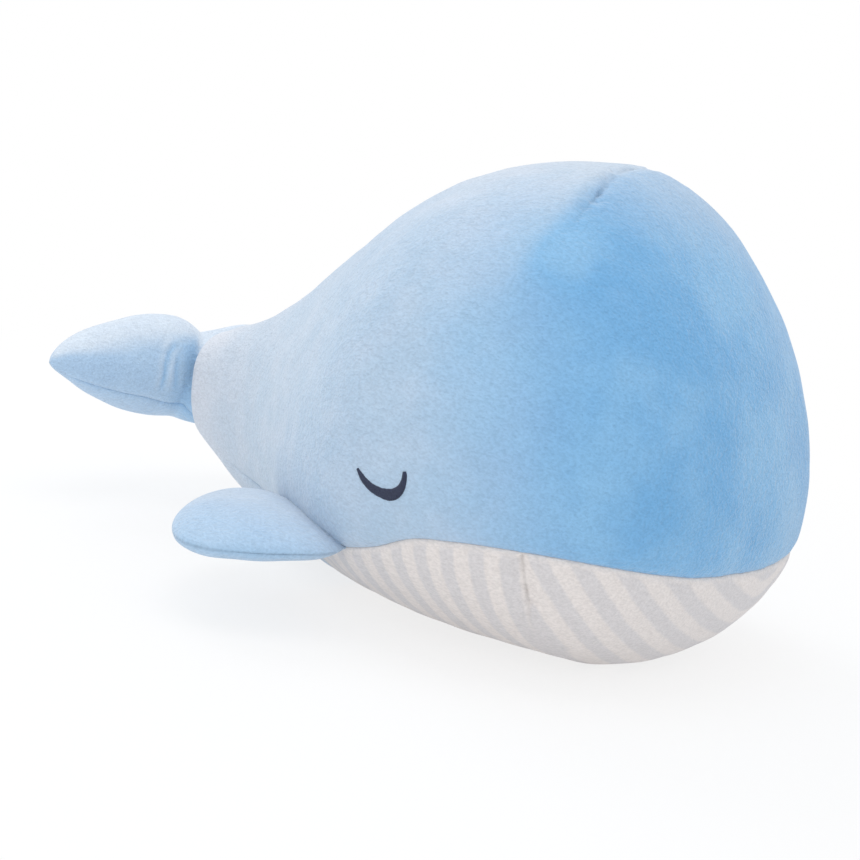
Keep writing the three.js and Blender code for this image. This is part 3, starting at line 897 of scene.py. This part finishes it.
tail_points = tail_points + moved + tail_normals * (stand - sink)[:, None]
tail_normals = normals_of(tail_points, tail_faces)
tail_plush = blue_plush("tail_plush", (213, 225, 238), (219, 230, 241))
near_rim = faded(np.hypot(tail_points[:, 1], 1.5 * (rim_x - tail_points[:, 0])), 20 * MM, 44 * MM)
facing_up = smooth_step(tail_normals[:, 2], 0.38, 0.82)
# Painted shade: deeper blue on the surfaces that do not look up, more so near the body's rim, plus the folds'
# painted shade and highlight.
tail_painted_shade = (0.46 + 0.24 * near_rim) * (1 - facing_up) + neck_fold_shading
for part, chosen, cad_nodes in (
    ("upper", tail_upper, ("flukes_upper_panel", "tail_root_cover")),
    ("lower", ~tail_upper, ("flukes_lower_panel",)),
):
    marks = {"nap": tail_painted_shade}
    piece = soft_shell(f"tail_{part}_plush", tail_points, tail_normals, tail_faces[chosen], limb_cloth, marks)
    piece.data.materials.append(tail_plush)
    start, end = (rim_x - 6 * MM, 0, rim_middle_z), (rim_x - 26 * MM, 0, rim_middle_z)
    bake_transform(piece)
    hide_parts(*cad_nodes)
tail_fill_inset = 5 * MM
points, faces = lobes_form(40, 24, tail_fill_inset)
filling("tail_lobes_fibre", points, outward(points, faces), 41, "flukes", "flukes_filling")
steps, fill_round = np.linspace(10 * MM, -3 * MM, 8), ring_turns(24)
points = rings(steps, fill_round) * (1, neck_half - tail_fill_inset, neck_high - tail_fill_inset)
points = np.vstack([points, [(steps[0] + MM, 0, 0), (steps[-1] - MM, 0, 0)]]) + (rim_x, 0, rim_middle_z)
faces = sheet_of(len(steps), len(fill_round), True, True)
filling("tail_neck_fibre", points, outward(points, faces), 43, "tail_root", "tail_root_filling")

# Each closed eye is a satin stitch: dark blue rayon thread laid side by side across a curved line, over a
# first layer that lifts it a little from the plush.
eye_marks = [(244.6, 87.6, 1.2), (247.4, 85.0, 2.7), (249.9, 83.1, 3.3), (254.2, 81.0, 4.0)]
eye_marks += [(259.3, 79.9, 4.7), (264.1, 79.9, 5.5), (267.7, 81.1, 5.4), (270.6, 84.1, 4.3)]
eye_marks += [(271.8, 87.8, 3.2), (271.9, 90.7, 2.6), (271.5, 92.6, 1.9)]
stitch_count = 128
thread_thick, stitch_loft = 0.42 * MM, 1.6 * MM
eye_sunk = 0.1 * MM
outside_far = 0.4


def smooth_path(marks, count):
    """Points at even steps on a smooth line through marks."""
    marks = np.asarray(marks, float)
    ends = np.vstack([2 * marks[0] - marks[1], marks, 2 * marks[-1] - marks[-2]])
    fine = []
    for i in range(1, len(ends) - 2):
        p, q, r, s = ends[i - 1 : i + 3]
        square, cube = 2 * p - 5 * q + 4 * r - s, 3 * q - p - 3 * r + s
        for t in np.arange(0, 1, 0.05):
            fine.append(0.5 * (2 * q + (r - p) * t + square * t**2 + cube * t**3))
    fine = np.array(fine + [marks[-1]])
    reached = np.concatenate([[0], np.cumsum(np.linalg.norm(np.diff(fine[:, :2], axis=0), axis=1))])
    at = np.linspace(0, reached[-1], count)
    return np.stack([np.interp(at, reached, fine[:, k]) for k in range(marks.shape[1])], axis=1)


def stitch_maker(thread):
    """Geometry Nodes: one rounded stitch on each point, turned across the line and as long as it is wide."""
    tree = bpy.data.node_groups.new("satin_stitch", "GeometryNodeTree")
    for name, kind, way in (
        ("Geometry", "NodeSocketGeometry", "INPUT"),
        ("Thread Radius", "NodeSocketFloat", "INPUT"),
        ("Loft", "NodeSocketFloat", "INPUT"),
        ("Geometry", "NodeSocketGeometry", "OUTPUT"),
    ):
        tree.interface.new_socket(name, in_out=way, socket_type=kind)
    given = tree.nodes.new("NodeGroupInput").outputs
    out = tree.nodes.new("NodeGroupOutput")

    def named(name, kind):
        made = node(tree, "GeometryNodeInputNamedAttribute", {"Name": name}, data_type=kind)
        return made.outputs["Attribute"]

    half_turn = {"Resolution": 9, "Radius": 0.5, "Sweep Angle": math.pi}
    arc = node(tree, "GeometryNodeCurveArc", half_turn, mode="RADIUS")
    low = node(tree, "ShaderNodeCombineXYZ", {0: 1.0, 1: given["Loft"], 2: 1.0})
    bowed = node(tree, "GeometryNodeTransform", {"Geometry": arc.outputs["Curve"], "Scale": low.outputs[0]})
    ring = node(tree, "GeometryNodeCurvePrimitiveCircle", {"Resolution": 6, "Radius": given["Thread Radius"]})
    swept = {"Curve": bowed.outputs["Geometry"], "Profile Curve": ring.outputs["Curve"], "Fill Caps": True}
    strand = node(tree, "GeometryNodeCurveToMesh", swept)
    axes = {"Primary Axis": named("across", "FLOAT_VECTOR"), "Secondary Axis": named("up", "FLOAT_VECTOR")}
    turn = node(tree, "FunctionNodeAxesToRotation", axes, primary_axis="X", secondary_axis="Y")
    size = node(tree, "ShaderNodeCombineXYZ", {0: named("wide", "FLOAT"), 1: 1.0, 2: 1.0})
    stitch = {"Points": given["Geometry"], "Instance": strand.outputs["Mesh"]}
    stitch |= {"Rotation": turn.outputs["Rotation"], "Scale": size.outputs[0]}
    laid = node(tree, "GeometryNodeInstanceOnPoints", stitch)
    real = node(tree, "GeometryNodeRealizeInstances", {"Geometry": laid.outputs["Instances"]})
    finish = node(tree, "GeometryNodeSetMaterial", {"Geometry": real.outputs["Geometry"], "Material": thread})
    tree.links.new(finish.outputs["Geometry"], out.inputs["Geometry"])
    return tree


thread, tree, shader, place = start_material("eye_thread")
strands = noise(tree, place, 2600.0)
colour = blended(tree, ranged(tree, strands, 0.3, 0.7), linear(27, 35, 58), linear(52, 60, 88))
tree.links.new(colour, shader.inputs["Base Color"])
bumped(tree, shader, strands, 0.3, 0.1 * MM)
shader.inputs["Roughness"].default_value = 0.5
shader.inputs["Specular IOR Level"].default_value = 0.4
shader.inputs["Sheen Weight"].default_value = 0.1
stitches = stitch_maker(thread)

skin = BVHTree.FromPolygons(body_points.tolist(), body_faces.tolist())
eye_line = smooth_path(eye_marks, stitch_count)
for side, word in ((-1, "right"), (1, "left")):
    centre, outside = [], []
    for x, z, _ in eye_line:
        start = Vector((rim_x + x * MM, side * outside_far, (z - floor_at) * MM))
        hit, normal, _, _ = skin.ray_cast(start, Vector((0, -side, 0)))
        centre.append(hit)
        outside.append(normal if normal.y * side > 0 else -normal)
    centre, outside = np.array(centre), np.array(outside)
    for _ in range(6):
        outside[1:-1] = (outside[:-2] + outside[1:-1] + outside[2:]) / 3
    outside /= np.linalg.norm(outside, axis=1, keepdims=True)
    along = np.gradient(centre, axis=0)
    along /= np.linalg.norm(along, axis=1, keepdims=True)
    across = np.cross(outside, along)
    draw = np.random.default_rng(17)
    wide = eye_line[:, 2] * MM * draw.uniform(0.96, 1.06, len(eye_line))
    mesh = mesh_of(f"{word}_eye_satin_stitch", centre - outside * eye_sunk, np.empty((0, 3), int))
    for mark, values, kind, field in (
        ("across", across, "FLOAT_VECTOR", "vector"),
        ("up", outside, "FLOAT_VECTOR", "vector"),
        ("wide", wide, "FLOAT", "value"),
    ):
        layer = mesh.attributes.new(mark, kind, "POINT")
        layer.data.foreach_set(field, values.astype(np.float32).ravel())
    eye = placed(mesh.name, mesh)
    maker = eye.modifiers.new("stitches", "NODES")
    maker.node_group = stitches
    given = {"Thread Radius": thread_thick / 2, "Loft": stitch_loft}
    for socket in stitches.interface.items_tree:
        if socket.name in given:
            maker[socket.identifier] = given[socket.name]
    graph = bpy.context.evaluated_depsgraph_get()
    whole = bpy.data.meshes.new_from_object(eye.evaluated_get(graph))
    eye.modifiers.remove(maker)
    eye.data = whole
    whole.name = eye.name
    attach(eye, "body")
    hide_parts(f"{word}_eye_embroidery")

# The floor, the soft light and the camera of the product photograph.
floor_half, floor_drop = 6, 0.2 * MM
corners = np.array([(-1, -1, 0), (1, -1, 0), (1, 1, 0), (-1, 1, 0)]) * floor_half
floor = placed("pale_floor", mesh_of("pale_floor", corners, np.array([[0, 1, 2, 3]]), smooth=False))
floor.location.z = -floor_drop
made, tree, shader, place = start_material("pale_floor")
shader.inputs["Base Color"].default_value = (0.93, 0.93, 0.93, 1)
shader.inputs["Roughness"].default_value = 0.9
path = tree.nodes.new("ShaderNodeLightPath")
glow = node(tree, "ShaderNodeEmission", {"Color": (1, 1, 1, 1), "Strength": 1.0})
from_middle = node(tree, "ShaderNodeVectorMath", {0: place}, operation="LENGTH").outputs["Value"]
seen = ranged(tree, from_middle, 0.25, 0.9, 0.75, 1)
seen = maths(tree, "MULTIPLY_ADD", path.outputs["Is Camera Ray"], maths(tree, "SUBTRACT", seen, 0.3), 0.3)
mixed = node(tree, "ShaderNodeMixShader", {0: seen, 1: shader.outputs[0], 2: glow.outputs[0]})
tree.links.new(mixed.outputs[0], tree.nodes["Material Output"].inputs["Surface"])
floor.data.materials.append(made)

world = bpy.data.worlds.new("studio")
bpy.context.scene.world = world
world.use_nodes = True
tree = world.node_tree
tree.nodes.clear()
path = tree.nodes.new("ShaderNodeLightPath")
room = node(tree, "ShaderNodeBackground", {"Color": (0.95, 0.97, 1, 1), "Strength": 0.84})
backdrop = node(tree, "ShaderNodeBackground", {"Color": (1, 1, 1, 1), "Strength": 1.0})
seen = maths(tree, "MAXIMUM", path.outputs["Is Camera Ray"], path.outputs["Is Glossy Ray"])
seen = maths(tree, "MAXIMUM", seen, path.outputs["Is Transmission Ray"])
mixed = node(tree, "ShaderNodeMixShader", {0: seen, 1: room.outputs[0], 2: backdrop.outputs[0]})
tree.links.new(mixed.outputs[0], node(tree, "ShaderNodeOutputWorld").inputs["Surface"])


def soft_box(name, place, size, power):
    lamp = bpy.data.lights.new(name, "AREA")
    lamp.shape = "DISK"
    lamp.size = size
    lamp.energy = power
    box = placed(name, lamp)
    box.location = place
    box.rotation_euler = (lit_middle - Vector(place)).to_track_quat("-Z", "Y").to_euler()


lit_middle = Vector((0, 0, 0.1))
soft_box("top_light", (0, -0.3, 2), 1.4, 7.2)
soft_box("left_light", (-1.4, 0.2, 1.2), 1, 5.6)
soft_box("front_light", (0.9, -1.5, 0.9), 1.2, 2.8)

turn, tilt, roll = math.radians(36), math.radians(5), math.radians(9.52)
back = Vector((math.sin(turn) * math.cos(tilt), -math.cos(turn) * math.cos(tilt), math.sin(tilt)))
level = Vector((math.cos(turn), math.sin(turn), 0))
rise = back.cross(level)
right = level * math.cos(roll) + rise * math.sin(roll)
upward = rise * math.cos(roll) - level * math.sin(roll)
lens = bpy.data.cameras.new("camera")
lens.sensor_width = 36
lens.lens = 62.79
lens.shift_x = -0.03707
lens.shift_y = -0.10325
camera = placed("camera", lens)
camera.matrix_world = Matrix((right, upward, back)).transposed().to_4x4()
looked_at, camera_distance = Vector((27.681, 0, 141.175)) * MM, 854.25 * MM
camera.location = looked_at + back * camera_distance
bpy.context.scene.camera = camera
bpy.context.scene.view_settings.view_transform = "Standard"
